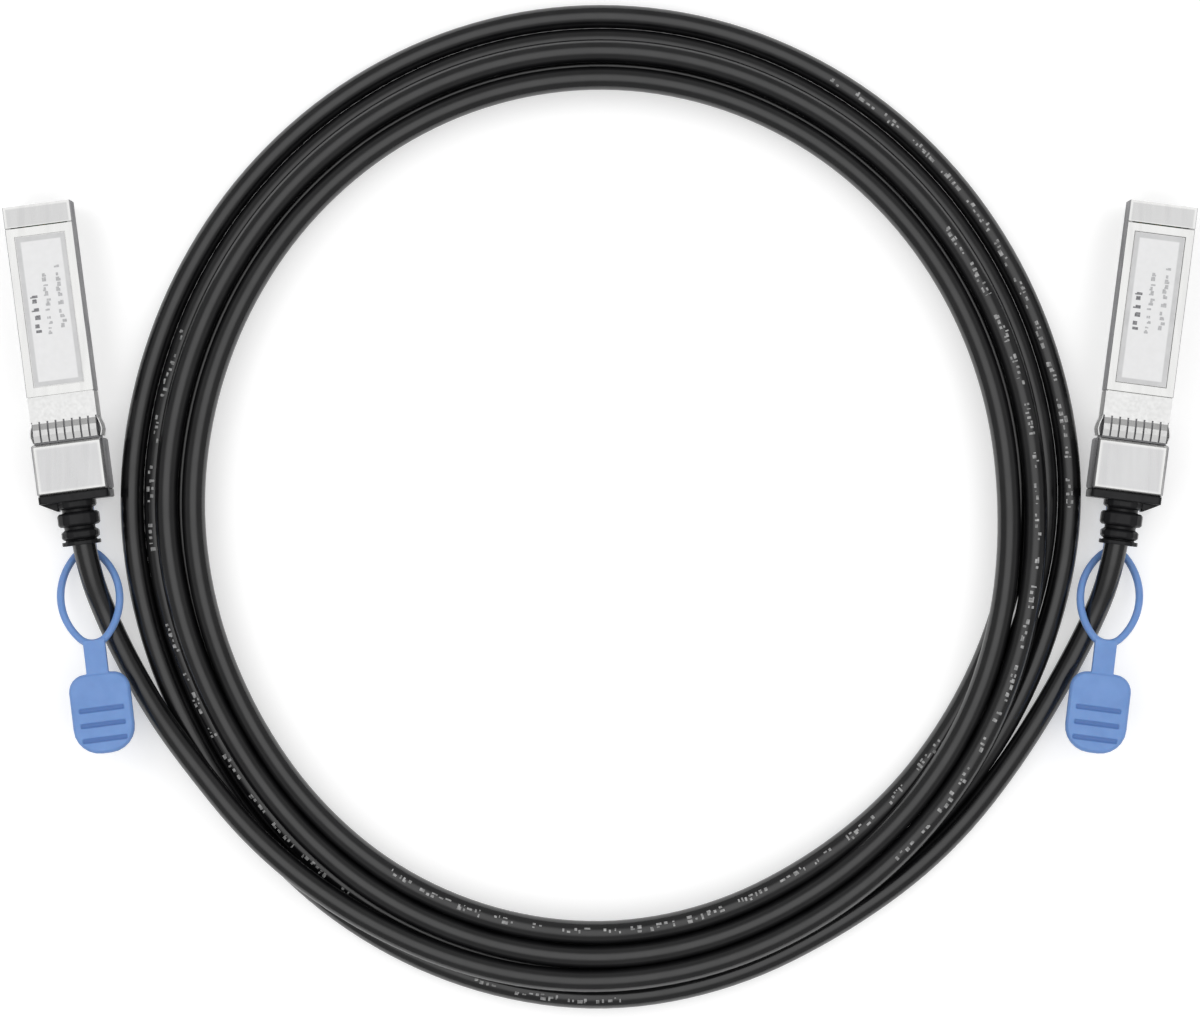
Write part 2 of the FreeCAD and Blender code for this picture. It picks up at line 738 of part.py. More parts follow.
# ---------------------------------------------------------------- latch and release
def latch_lever(name):
    """The rocking lever: a latch boss at its front, a cam face in its middle and an eye at its rear."""
    top = lever_low + S.lever_thick
    low = lever_low
    boss_low = S.body_lift - S.boss_drop
    shoulder = S.boss_shoulder
    cam_low = low - S.cam_drop
    cam_back = -S.slider_front - S.cam_back
    ramp_back = cam_back + S.cam_flat
    ramp_front = ramp_back + S.cam_ramp
    profile = [
        (-S.pivot_back, top), (-S.pivot_back, low), (cam_back, low), (cam_back, cam_low),
        (ramp_back, cam_low), (ramp_front, low), (shoulder, low), (shoulder, boss_low),
        (shoulder + S.boss_flat, boss_low), (shoulder + S.boss_length, low), (S.lever_tip, low),
        (S.lever_tip, top),
    ]
    half = S.lever_width / 2
    arm = prism(name + "_arm", "YZ_Plane", profile, -half, half)
    eye = rod(name + "_eye", "x", S.eye_diameter, (-half, -S.pivot_back, pivot_height), S.lever_width)
    bore = rod(name + "_bore", "x", S.pin_diameter + S.run_gap * 2,
               (-half - 1, -S.pivot_back, pivot_height), S.lever_width + 2)
    return cut(name, fuse(name + "_blank", arm, eye), bore)


def lever_pin(name):
    """The pin that the lever rocks on, held in the base on both sides."""
    start = (-S.pin_length / 2, -S.pivot_back, pivot_height)
    return group(name, rod(name + "_rod", "x", S.pin_diameter, start, S.pin_length))


def latch_spring(name):
    """The bent leaf that presses the lever's front end down: foot on the floor, bow, contact."""
    thick = S.spring_thick
    tip = S.lever_tip
    touch = lever_low + S.lever_thick + 0.02
    profile = [
        (tip + 3.2, floor_top), (tip + 1.4, floor_top), (tip + 0.6, floor_top + 0.7), (tip - 1.0, touch),
        (tip - 1.07, touch + 0.13), (tip + 0.62, floor_top + 0.88), (tip + 1.46, floor_top + thick),
        (tip + 3.2, floor_top + thick),
    ]
    return prism(name, "YZ_Plane", profile, -S.spring_width / 2, S.spring_width / 2)


def release_slider(name):
    """The stamped slider under the rear block: two arms round the lever's eye, a cam bar and a tail."""
    low = S.slider_low
    high = low + S.slider_thick
    half = S.slider_width / 2
    tail = S.tail_width / 2
    front = -S.slider_front
    taper_end = -S.slider_back - 0.8
    plate = prism(
        name + "_plate", "XY_Plane",
        [(-half, front), (-half, -S.slider_back), (-tail, taper_end), (-tail, -S.tail_back),
         (tail, -S.tail_back), (tail, taper_end), (half, -S.slider_back), (half, front)],
        low, high)
    cam_top = lever_low - S.fit_gap
    cam = prism(
        name + "_cam", "YZ_Plane",
        [(front - 1.3, high - 0.1), (front - 0.1, high - 0.1), (front - 0.1, cam_top - 0.2),
         (front - 0.3, cam_top), (front - 0.9, cam_top)],
        -S.lever_width / 2, S.lever_width / 2)
    eye = S.eye_diameter / 2
    arms_gap = box(name + "_arms_gap", wide(pocket_half * 2),
                   (-S.pivot_back - eye - 0.3, -S.pivot_back + eye + S.slider_travel + 0.2),
                   (low - 1, high + 1))
    # the pull is moulded through this window
    anchor = box(name + "_anchor", wide(as_size(1.8)), (-S.tail_back + 0.5, -S.tail_back + 1.6),
                 (low - 1, high + 1))
    return cut(name, fuse(name + "_blank", plate, cam), arms_gap, anchor)


def oval_outline(width, length):
    """An oval of two end arcs and two side arcs, all tangent, about the origin with its long axis along y."""
    half_width = float(width) / 2
    half_length = float(length) / 2
    end_radius = half_width ** 2 / half_length
    to_end = half_length - end_radius
    side_radius = (half_width ** 2 + to_end ** 2 - end_radius ** 2) / (2 * half_width - 2 * end_radius)
    # the arcs meet on the line through their two centres
    meeting = math.atan2(to_end, side_radius - half_width)
    join_x = end_radius * math.cos(meeting)
    join_y = to_end + end_radius * math.sin(meeting)
    arcs = [
        ((join_x, -join_y), (half_width, 0), (join_x, join_y)),
        ((join_x, join_y), (0, half_length), (-join_x, join_y)),
        ((-join_x, join_y), (-half_width, 0), (-join_x, -join_y)),
        ((-join_x, -join_y), (0, -half_length), (join_x, -join_y)),
    ]
    return Part.Wire([Part.Arc(*(Vector(x, y, 0) for x, y in arc)).toShape() for arc in arcs])


def oval_ring(name, width, length, strand, thick, edge_cut):
    """A flat-lying oval ring about the origin, its strand this wide and thick, with its edges cut off."""
    discs = []
    for label, inset, reach in (("_outside", 0, 1), ("_inside", strand * 2, 2)):
        outline = doc.addObject("Part::Feature", name + label + "_outline")
        outline.Shape = oval_outline(width - inset, length - inset)
        disc = doc.addObject("Part::Extrusion", name + label)
        disc.Base = outline
        disc.DirMode = "Custom"
        disc.Dir = Vector(0, 0, 1)
        disc.Symmetric = True
        disc.Solid = True
        bind(disc, "LengthFwd", thick * reach)
        discs.append(disc)
    ring = cut(name + "_ring", *discs)
    doc.recompute()
    item = doc.addObject("Part::Chamfer", name)
    item.Base = ring
    leg = float(edge_cut)
    item.Edges = [(n, leg, leg) for n, edge in enumerate(ring.Shape.Edges, 1) if edge.BoundBox.ZLength < 1e-6]
    return item


def pull_ring(name, slider):
    """The moulded pull: a strap on the slider's tail, an oval round the cable, and a ribbed paddle.

    The cable passes over the oval's near end and under its far end, so the oval slopes up from
    the strap; the paddle behind it is nearly level."""
    mid = S.strap_height
    strap_top = mid + S.strap_thick / 2
    strap = box(name + "_strap", wide(S.strap_width), (-S.ring_start - 0.9, -S.tail_back),
                (mid - S.strap_thick / 2, strap_top))
    grip_half = S.tail_width / 2 + 0.6
    grip_back = -S.tail_back - 1
    grip = prism(name + "_grip", "XY_Plane",
                 [(-grip_half, grip_back), (grip_half, grip_back),
                  (grip_half, -S.strap_front), (-grip_half, -S.strap_front)],
                 0.1, strap_top)
    soften(grip, 0.4, lambda edge: runs_along(edge, 2), "Chamfer")

    slope = math.radians(float(S.ring_tilt))
    length = float(S.ring_length)
    near = Vector(0, -float(S.ring_start), float(mid))
    along = Vector(0, -math.cos(slope), math.sin(slope))
    loop = oval_ring(name + "_loop", S.ring_width, S.ring_length, S.ring_strand, S.ring_strand,
                     S.ring_strand * 0.27)
    loop.Placement = Placement(near + along * (length / 2), Rotation(Vector(1, 0, 0), -float(S.ring_tilt)))

    # neck and paddle lie in a frame of their own at the oval's far end
    far = near + along * (length - float(S.ring_strand) * 0.5)
    neck = box(name + "_neck", wide(S.strap_width), (-S.neck_run - 1, S.ring_strand * 0.4),
               wide(S.ring_strand))
    face = S.paddle_thick / 2
    corners = (S.paddle_end_round, S.paddle_end_round, S.paddle_shoulder, S.paddle_shoulder)
    paddle_span = (-S.neck_run - S.paddle_length, -S.neck_run)
    paddle = prism(name + "_paddle", "XY_Plane",
                   rounded_outline(wide(S.paddle_width), paddle_span, corners, 6), -face, face)
    soften(paddle, S.paddle_edge, lambda edge: edge.BoundBox.ZLength < 1e-6, "Chamfer")
    groove_across = wide(S.paddle_width - S.groove_inset * 2)
    grooves = []
    for order in range(3):
        middle = -S.neck_run - S.groove_first - S.groove_pitch * order
        groove_along = (middle - S.groove_width / 2, middle + S.groove_width / 2)
        grooves.append(box(name + "_groove", groove_across, groove_along, (face - S.groove_depth, face + 1)))
        grooves.append(box(name + "_groove", groove_across, groove_along, (-face - 1, S.groove_depth - face)))
    tab = cut(name + "_tab", fuse(name + "_blade", neck, paddle), *grooves)
    tab.Placement = Placement(far, Rotation(Vector(1, 0, 0), -float(S.paddle_tilt)))
    return cut(name, fuse(name + "_moulding", strap, grip, loop, tab), slider)


# ---------------------------------------------------------------- the two plugs
def plug_reach():
    """How far the paddle's end lies behind the stop, seen from above."""
    slope = math.radians(float(S.ring_tilt))
    level = math.radians(float(S.paddle_tilt))
    loop = float(S.ring_length - S.ring_strand * 0.5)
    tab = float(S.neck_run + S.paddle_length)
    lower_edge = float(S.paddle_thick / 2 - S.paddle_edge)
    return (float(S.ring_start) + loop * math.cos(slope) + tab * math.cos(level)
            + lower_edge * math.sin(level))


lean = math.radians(float(S.plug_tilt))
front_reach = float(S.body_length) * math.cos(lean) + float(S.body_width) / 2 * math.sin(lean)
end_side = float(S.paddle_width) / 2 - float(S.paddle_end_round)
back_reach = plug_reach() * math.cos(lean) + end_side * math.sin(lean)
# the stop's place along Y that puts the origin midway between the plugs' front and back ends
stop_y = (back_reach - front_reach) / 2


def plug_frame(sign):
    """Placement of a plug: sign is -1 for the left one and 1 for the right one."""
    return Placement(Vector(sign * float(S.plug_spread), stop_y, 0),
                     Rotation(Vector(0, 0, 1), -sign * float(S.plug_tilt)))


nodes = []


def keep(item, name, frame=None):
    """Makes an object a sub-part: gives it its label and its place."""
    item.Label = name
    if frame:
        item.Placement = frame.multiply(item.Placement)
    nodes.append(item)
    return item


PLUG_PIECES = (
    housing_base, housing_cover, label, cover_screws, emi_collar, paddle_card, card_contacts, memory_chip,
    wire_pairs, shield_braid, crimp_ferrule, latch_lever, lever_pin, latch_spring,
)

for side, sign in (("left", -1), ("right", 1)):
    frame = plug_frame(sign)
    for make in PLUG_PIECES:
        name = f"{side}_{make.__name__}"
        keep(make(name + "_"), name, frame)
    keep(boot(side + "_boot_", sign), side + "_boot", frame)
    slider = release_slider(side + "_release_slider_")
    doc.recompute()
    # the pull is moulded round the slider's tail, so that shape is taken out of it
    ring = pull_ring(side + "_pull_ring_", slider)
    doc.recompute()
    keep(ring, side + "_pull_ring", frame)
    keep(doc.copyObject(slider, False), side + "_release_slider", frame)

# ---------------------------------------------------------------- the cable
coil_middle = Vector(float(S.coil_x), stop_y - float(S.coil_back), 0)


def coil(name):
    """The outer form of the coiled turns: an oval ring with bevelled edges."""
    item = oval_ring(name, S.coil_across, S.coil_along, S.coil_width, S.coil_height, S.cable_diameter * 0.35)
    item.Placement = Placement(coil_middle + Vector(0, 0, float(S.coil_height) / 2), Rotation())
    return item


cable_coil = keep(coil("coil_body"), "cable_coil")
doc.recompute()

# Each lead runs straight out of its boot, sinks to the surface under the pull ring's far end
# and joins the coil: the left one climbs onto its upper layer, the right one stays below.
# A point is its place across, how far it lies behind the stops and the cable's lift there.
LEAD_POINTS = {
    "left": [(-97.6, 37.03, 0.1), (-89.3, 50.43, 0.45), (-80.0, 63.03, 2.25)],
    "right": [(98.2, 37.03, 0.1), (90.6, 50.43, 0.05), (81.5, 64.03, 0.05)],
}
for side, sign in (("left", -1), ("right", 1)):
    frame = plug_frame(sign)
    jacket_start = frame.multVec(Vector(0, float(jacket_end), float(S.cable_height)))
    clear_of_boot = frame.multVec(Vector(0, -float(S.lead_straight), float(S.cable_height)))
    low_axis = float(S.cable_diameter) / 2
    points = [jacket_start, clear_of_boot]
    points += [Vector(x, stop_y - behind, low_axis + lift) for x, behind, lift in LEAD_POINTS[side]]
    run = tube(side + "_lead_run", points, float(S.cable_diameter))
    keep(cut(side + "_lead_", run, cable_coil), side + "_lead")

# ---------------------------------------------------------------- check and write
doc.recompute()
failed = [item.Name for item in doc.Objects if "Invalid" in item.State or "Error" in item.State]
if failed:
    raise ValueError("features that failed: " + ", ".join(failed))
for item in nodes:
    if item.Shape.isNull() or not item.Shape.isValid():
        raise ValueError(item.Label + " has no valid shape")

os.makedirs("parts", exist_ok=True)
for item in nodes:
    item.Shape.exportStep(f"parts/{item.Label}.step")
    bounds = item.Shape.BoundBox
    print(f"{item.Label}: solids {len(item.Shape.Solids)}, volume {item.Shape.Volume:.1f}, "
          f"x {bounds.XMin:.2f} {bounds.XMax:.2f}, y {bounds.YMin:.2f} {bounds.YMax:.2f}, "
          f"z {bounds.ZMin:.2f} {bounds.ZMax:.2f}")
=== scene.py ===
"""The looks of a direct attach copper cable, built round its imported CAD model."""

import json
import math
import random

import bmesh
import bpy
import numpy as np
from mathutils import Matrix, Vector


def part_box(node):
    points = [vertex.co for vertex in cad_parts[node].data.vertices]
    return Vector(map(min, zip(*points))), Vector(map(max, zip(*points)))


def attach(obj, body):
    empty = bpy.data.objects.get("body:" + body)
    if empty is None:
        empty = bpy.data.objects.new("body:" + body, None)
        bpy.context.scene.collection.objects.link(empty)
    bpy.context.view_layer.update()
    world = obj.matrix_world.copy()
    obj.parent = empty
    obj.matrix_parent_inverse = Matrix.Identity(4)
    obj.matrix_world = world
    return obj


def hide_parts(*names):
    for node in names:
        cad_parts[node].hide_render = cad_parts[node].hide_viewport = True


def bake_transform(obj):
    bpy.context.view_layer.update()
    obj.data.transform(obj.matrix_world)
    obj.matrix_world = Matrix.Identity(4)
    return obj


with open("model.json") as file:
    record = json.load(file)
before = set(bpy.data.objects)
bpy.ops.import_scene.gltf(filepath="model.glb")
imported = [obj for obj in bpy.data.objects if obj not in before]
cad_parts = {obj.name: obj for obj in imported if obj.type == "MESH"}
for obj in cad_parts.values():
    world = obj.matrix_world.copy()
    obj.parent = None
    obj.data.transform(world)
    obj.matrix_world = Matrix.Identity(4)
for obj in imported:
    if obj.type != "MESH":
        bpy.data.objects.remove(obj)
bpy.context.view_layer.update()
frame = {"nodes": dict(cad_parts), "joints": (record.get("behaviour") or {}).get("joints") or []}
nodes = frame["nodes"]
MM = 0.001
UP = Vector((0, 0, 1))

# ------------------------------------------------------------ camera, light and floor
VIEW_HEIGHT = 0.850
VIEW_Y = -0.0072
VIEW_WIDTH = 0.2408
LAMP_RING = 0.62
LAMP_HEIGHT = 0.55
LAMP_SIZE = 0.6
# each lamp's angle round the object and its power
LAMPS = ((35, 1.6), (145, 1.8), (215, 1.35), (325, 1.35))
HORIZON_LIGHT = 0.38
OVERHEAD_LIGHT = 1.45
FLOOR_HALF = 3.0
FLOOR_GLOW = 0.38

scene = bpy.context.scene
scene.view_settings.view_transform = "Standard"

camera_data = bpy.data.cameras.new("camera")
camera_data.sensor_width = 36
camera_data.lens = camera_data.sensor_width * VIEW_HEIGHT / VIEW_WIDTH
camera_data.clip_start = 0.01
camera = bpy.data.objects.new("camera", camera_data)
camera.location = (0, VIEW_Y, VIEW_HEIGHT)
scene.collection.objects.link(camera)
scene.camera = camera


def softbox(turn, power):
    """A square lamp on the ring of lamps that looks at the middle of the floor, unseen in reflections."""
    data = bpy.data.lights.new(f"softbox_{turn}", "AREA")
    data.shape = "SQUARE"
    data.size = LAMP_SIZE
    data.energy = power
    lamp = bpy.data.objects.new(f"softbox_{turn}", data)
    angle = math.radians(turn)
    place = Vector((LAMP_RING * math.cos(angle), LAMP_RING * math.sin(angle), LAMP_HEIGHT))
    lamp.location = place
    lamp.rotation_euler = (-place).to_track_quat("-Z", "Y").to_euler()
    lamp.visible_glossy = False
    scene.collection.objects.link(lamp)


for turn, power in LAMPS:
    softbox(turn, power)


def studio_world():
    """A room that is bright overhead and underneath, and dim round the horizon."""
    world = bpy.data.worlds.new("studio")
    scene.world = world
    world.use_nodes = True
    tree = world.node_tree
    tree.nodes.clear()
    direction = tree.nodes.new("ShaderNodeTexCoord")
    split = tree.nodes.new("ShaderNodeSeparateXYZ")
    steepness = tree.nodes.new("ShaderNodeMath")
    steepness.operation = "ABSOLUTE"
    ceiling = tree.nodes.new("ShaderNodeMapRange")
    ceiling.interpolation_type = "SMOOTHSTEP"
    # the sine of the height above the horizon, where the brightening starts and ends
    ceiling.inputs["From Min"].default_value = 0.76
    ceiling.inputs["From Max"].default_value = 0.98
    ceiling.inputs["To Min"].default_value = HORIZON_LIGHT
    ceiling.inputs["To Max"].default_value = OVERHEAD_LIGHT
    light = tree.nodes.new("ShaderNodeBackground")
    output = tree.nodes.new("ShaderNodeOutputWorld")
    tree.links.new(direction.outputs["Generated"], split.inputs[0])
    tree.links.new(split.outputs["Z"], steepness.inputs[0])
    tree.links.new(steepness.outputs[0], ceiling.inputs["Value"])
    tree.links.new(ceiling.outputs["Result"], light.inputs["Strength"])
    tree.links.new(light.outputs[0], output.inputs[0])


studio_world()


# ------------------------------------------------------------ materials
class Surface:
    """A node-based material; every method adds one kind of detail and returns the surface itself."""

    def __init__(self, name, colour, roughness, metallic=0.0, **sockets):
        self.material = bpy.data.materials.new(name)
        self.material.use_nodes = True
        self.tree = self.material.node_tree
        self.tree.nodes.clear()
        self.shader = self.node("ShaderNodeBsdfPrincipled")
        output = self.node("ShaderNodeOutputMaterial")
        self.link(self.shader.outputs[0], output.inputs["Surface"])
        self.colour = colour
        self.roughness = roughness
        self.shader.inputs["Base Color"].default_value = (*colour, 1)
        self.shader.inputs["Roughness"].default_value = roughness
        self.shader.inputs["Metallic"].default_value = metallic
        for socket, value in sockets.items():
            self.shader.inputs[socket.replace("_", " ")].default_value = value
        self.coordinates = self.node("ShaderNodeTexCoord").outputs["Object"]
        self.bump_chain = None
        self.painted = None

    def node(self, kind, **settings):
        made = self.tree.nodes.new(kind)
        for key, value in settings.items():
            setattr(made, key, value)
        return made

    def link(self, start, end):
        self.tree.links.new(start, end)

    def noise(self, scale, detail=3.0, stretch=(1, 1, 1), turn=0.0):
        """A noise value; stretch under 1 draws the grain out along that axis."""
        mapping = self.node("ShaderNodeMapping")
        mapping.inputs["Scale"].default_value = stretch
        mapping.inputs["Rotation"].default_value = (0, 0, turn)
        texture = self.node("ShaderNodeTexNoise")
        texture.inputs["Scale"].default_value = scale
        texture.inputs["Detail"].default_value = detail
        self.link(self.coordinates, mapping.inputs["Vector"])
        self.link(mapping.outputs[0], texture.inputs["Vector"])
        return texture.outputs["Fac"]

    def ranged(self, value, low, high):
        """A noise value spread from low to high, over the middle of the noise's own range."""
        remap = self.node("ShaderNodeMapRange")
        remap.inputs["From Min"].default_value = 0.3
        remap.inputs["From Max"].default_value = 0.7
        remap.inputs["To Min"].default_value = low
        remap.inputs["To Max"].default_value = high
        self.link(value, remap.inputs["Value"])
        return remap.outputs["Result"]

    def tint(self, share, other):
        """Mixes another colour over what the surface has so far, by a share from 0 to 1."""
        blend = self.node("ShaderNodeMix", data_type="RGBA")
        blend.inputs["A"].default_value = (*self.colour, 1)
        if self.painted:
            self.link(self.painted, blend.inputs["A"])
        blend.inputs["B"].default_value = (*other, 1)
        self.link(share, blend.inputs["Factor"])
        self.painted = blend.outputs["Result"]
        self.link(self.painted, self.shader.inputs["Base Color"])
        return self

    def mottle(self, scale, other, most=1.0, **grain):
        """The colour wanders between the surface's own and another one."""
        return self.tint(self.ranged(self.noise(scale, **grain), 0, most), other)

    def zone(self, plug, low, high, soft, other):
        """Another colour inside a box of a plug's frame, in millimetres, with an edge this soft."""
        local = self.node("ShaderNodeMapping", vector_type="TEXTURE")
        local.inputs["Location"].default_value = plug.to_translation()
        local.inputs["Rotation"].default_value = plug.to_euler()
        local.inputs["Scale"].default_value = (MM, MM, MM)
        split = self.node("ShaderNodeSeparateXYZ")
        self.link(self.coordinates, local.inputs["Vector"])
        self.link(local.outputs[0], split.inputs[0])
        inside = None
        for axis, least, most in zip("XYZ", low, high):
            for edge, sign in ((least, 1), (most, -1)):
                ramp = self.node("ShaderNodeMapRange")
                ramp.inputs["From Min"].default_value = edge
                ramp.inputs["From Max"].default_value = edge + soft * sign
                self.link(split.outputs[axis], ramp.inputs["Value"])
                both = self.node("ShaderNodeMath", operation="MULTIPLY")
                both.inputs[0].default_value = 1
                if inside:
                    self.link(inside, both.inputs[0])
                self.link(ramp.outputs["Result"], both.inputs[1])
                inside = both.outputs[0]
        return self.tint(inside, other)

    def polish(self, scale, spread, **grain):
        """The roughness wanders by spread on both sides."""
        value = self.ranged(self.noise(scale, **grain), self.roughness - spread, self.roughness + spread)
        self.link(value, self.shader.inputs["Roughness"])
        return self

    def relief(self, scale, height, **grain):
        """Fine bumps of this height in metres; later ones lie over earlier ones."""
        bump = self.node("ShaderNodeBump")
        bump.inputs["Strength"].default_value = 1.0
        bump.inputs["Distance"].default_value = height
        self.link(self.noise(scale, **grain), bump.inputs["Height"])
        if self.bump_chain:
            self.link(self.bump_chain, bump.inputs["Normal"])
        self.bump_chain = bump.outputs["Normal"]
        self.link(self.bump_chain, self.shader.inputs["Normal"])
        return self


# ------------------------------------------------------------ the plugs' frames
SIDES = ("left", "right")
PIN_BACK = 7.2
PIN_HEIGHT = 1.75


def plug_frame(side):
    """A plug's own frame: x across, y towards the host from the stop, z up from the floor."""
    pull = next(joint for joint in frame["joints"] if joint["name"] == side + "_release_pull")
    ahead = -Vector(pull["axis"]).normalized()
    pin_low, pin_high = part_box(side + "_lever_pin")
    origin = (pin_low + pin_high) / 2 + ahead * PIN_BACK * MM - UP * PIN_HEIGHT * MM
    turn = Matrix((ahead.cross(UP), ahead, UP)).transposed()
    return Matrix.LocRotScale(origin, turn, None)


plugs = {side: plug_frame(side) for side in SIDES}


def in_plug(side, points):
    """Points of a plug's frame, in millimetres, as points of the scene."""
    return [plugs[side] @ (Vector(point) * MM) for point in points]


# ------------------------------------------------------------ what everything is made of
CAST = (0.80, 0.80, 0.79)
# painted shade: the shell's side walls are coloured dark to stand for the shade they see, while the flat
# tops keep the metal's own colour
PAINTED_WALL_SHADE = (0.19, 0.19, 0.20)
NOSE_SEAM = 43.3
shell_metal = {}
label_film = {}
for side in SIDES:
    plug = plugs[side]
    turn = plug.to_euler().z
    # walls first in painted shade, then the flat tops, the rear block's top with a darker middle, a
    # painted shadow where the collar shades the shell and the nose bar, darker
    shell_metal[side] = (
        Surface("shell_" + side, PAINTED_WALL_SHADE, 0.26, 1.0, Specular_Tint=(0.45, 0.45, 0.46, 1))
        .mottle(150, (0.16, 0.16, 0.17), detail=2)
        .zone(plug, (-6.62, 0, -1), (6.62, 60, 12), 0.04, CAST)
        .zone(plug, (-6.85, -12, -1), (6.85, 0, 12), 0.3, CAST)
        .mottle(150, (0.74, 0.74, 0.735), most=0.5, detail=2)
        .zone(plug, (-6.4, -9.7, 10.5), (6.4, -0.7, 11.2), 0.5, (0.39, 0.39, 0.415))
        # painted shadow: the shell is darkened where the collar's fingers shade it
        .zone(plug, (-7.2, -0.6, 1.0), (7.2, 4.8, 10.6), 0.3, (0.16, 0.16, 0.165))
        .zone(plug, (-6.3, NOSE_SEAM, 8), (6.3, 47.2, 12), 0.3, (0.62, 0.62, 0.62))
        .polish(700, 0.05, stretch=(1, 0.08, 1), turn=turn)
        .relief(5200, 0.0000025, stretch=(1, 0.3, 1), turn=turn)
    )
    # painted shade: the film is left darker at its margin, along the recess's border, and lighter in its
    # middle
    label_film[side] = (
        Surface("label_film_" + side, (0.60, 0.60, 0.605), 0.45, Specular_IOR_Level=0.3)
        .mottle(250, (0.55, 0.55, 0.555), detail=1)
        .zone(plug, (-4.1, 12.2, 9), (4.1, 40.4, 11), 0.25, (0.80, 0.80, 0.805))
        .mottle(700, (0.70, 0.70, 0.70), most=0.25, detail=1)
        .polish(800, 0.05)
    )
spring_metal = (
    Surface("spring_metal", (0.87, 0.87, 0.865), 0.36, 1.0, Specular_Tint=(0.3, 0.3, 0.3, 1))
    .mottle(400, (0.84, 0.84, 0.835))
    .polish(1500, 0.05)
    .relief(3000, 0.0000006)
)
latch_metal = (
    Surface("latch_metal", (0.66, 0.66, 0.65), 0.3, 1.0)
    .polish(1200, 0.07)
    .relief(2600, 0.000003)
)
screw_metal = (
    Surface("screw_metal", (0.62, 0.62, 0.62), 0.28, 1.0)
    .mottle(900, (0.5, 0.5, 0.5))
    .polish(3000, 0.08)
)
card_mask = (
    Surface("card_mask", (0.03, 0.20, 0.08), 0.35)
    .mottle(900, (0.02, 0.15, 0.06))
    .relief(4000, 0.000004)
)
gold = Surface("gold", (0.88, 0.68, 0.30), 0.22, 1.0).mottle(2500, (0.80, 0.60, 0.25)).polish(4000, 0.06)
chip_body = (
    Surface("chip_body", (0.02, 0.02, 0.02), 0.55)
    .mottle(3000, (0.03, 0.03, 0.03))
    .relief(6000, 0.000006)
)
insulation = Surface("insulation", (0.70, 0.70, 0.66), 0.35).mottle(500, (0.62, 0.62, 0.58))
braid = Surface("braid", (0.62, 0.58, 0.52), 0.35, 1.0).relief(3500, 0.00004).polish(2500, 0.1)
ferrule_metal = (
    Surface("ferrule_metal", (0.70, 0.60, 0.40), 0.3, 1.0)
    .mottle(900, (0.6, 0.5, 0.33))
    .polish(1500, 0.08)
)
boot_rubber = (
    Surface("boot_rubber", (0.006, 0.006, 0.007), 0.36, Specular_IOR_Level=0.3)
    .mottle(700, (0.010, 0.010, 0.011))
    .polish(500, 0.08)
    .relief(5000, 0.000008)
)
jacket = (
    Surface("jacket", (0.003, 0.003, 0.0035), 0.22, Specular_IOR_Level=0.85)
    .mottle(180, (0.007, 0.007, 0.0075), detail=5)
    .polish(240, 0.05, detail=5)
    .relief(230, 0.00003)
    .relief(4200, 0.000004)
)
jacket_ink = Surface("jacket_ink", (0.42, 0.42, 0.42), 0.55).mottle(1400, (0.14, 0.14, 0.14), detail=4)
label_ink = Surface("label_ink", (0.10, 0.10, 0.11), 0.5).mottle(2500, (0.30, 0.30, 0.31), detail=3)
faint_ink = Surface("faint_ink", (0.38, 0.38, 0.39), 0.5).mottle(2500, (0.55, 0.55, 0.56), detail=3)
# the middles of the paddle's three grooves, along the plug's frame, and their half width and reach; the
# plastic is darkened there in painted shade
GROOVES = (-53.59, -56.58, -59.57)
GROOVE_HALF = 0.6
GROOVE_REACH = 4.6
pull_plastic = {}
for side in SIDES:
    plastic = Surface(
        "pull_plastic_" + side, (0.145, 0.275, 0.58), 0.40, Subsurface_Weight=0.15, Subsurface_Scale=0.002
    )
    plastic.mottle(300, (0.17, 0.31, 0.63))
    for y in GROOVES:
        low = (-GROOVE_REACH, y - GROOVE_HALF, 0)
        high = (GROOVE_REACH, y + GROOVE_HALF, 12)
        # painted shade in each groove
        plastic.zone(plugs[side], low, high, 0.35, (0.08, 0.17, 0.42))
    plastic.polish(700, 0.06)
    plastic.relief(3800, 0.000006)
    pull_plastic[side] = plastic

NODE_SURFACES = {
    "cover_screws": screw_metal, "emi_collar": spring_metal, "paddle_card": card_mask,
    "card_contacts": gold, "memory_chip": chip_body, "wire_pairs": insulation, "shield_braid": braid,
    "crimp_ferrule": ferrule_metal, "boot": boot_rubber, "latch_lever": latch_metal,
    "lever_pin": latch_metal, "latch_spring": spring_metal, "release_slider": latch_metal,
}


def dress(obj, surface):
    """Gives an object this surface and no other."""
    obj.data.materials.clear()
    obj.data.materials.append(surface.material)


for side in SIDES:
    for kind, surface in NODE_SURFACES.items():
        dress(nodes[f"{side}_{kind}"], surface)
    for kind in ("housing_base", "housing_cover"):
        dress(nodes[f"{side}_{kind}"], shell_metal[side])
    dress(nodes[side + "_label"], label_film[side])
    dress(nodes[side + "_pull_ring"], pull_plastic[side])
for node in ("cable_coil", "left_lead", "right_lead"):
    dress(nodes[node], jacket)


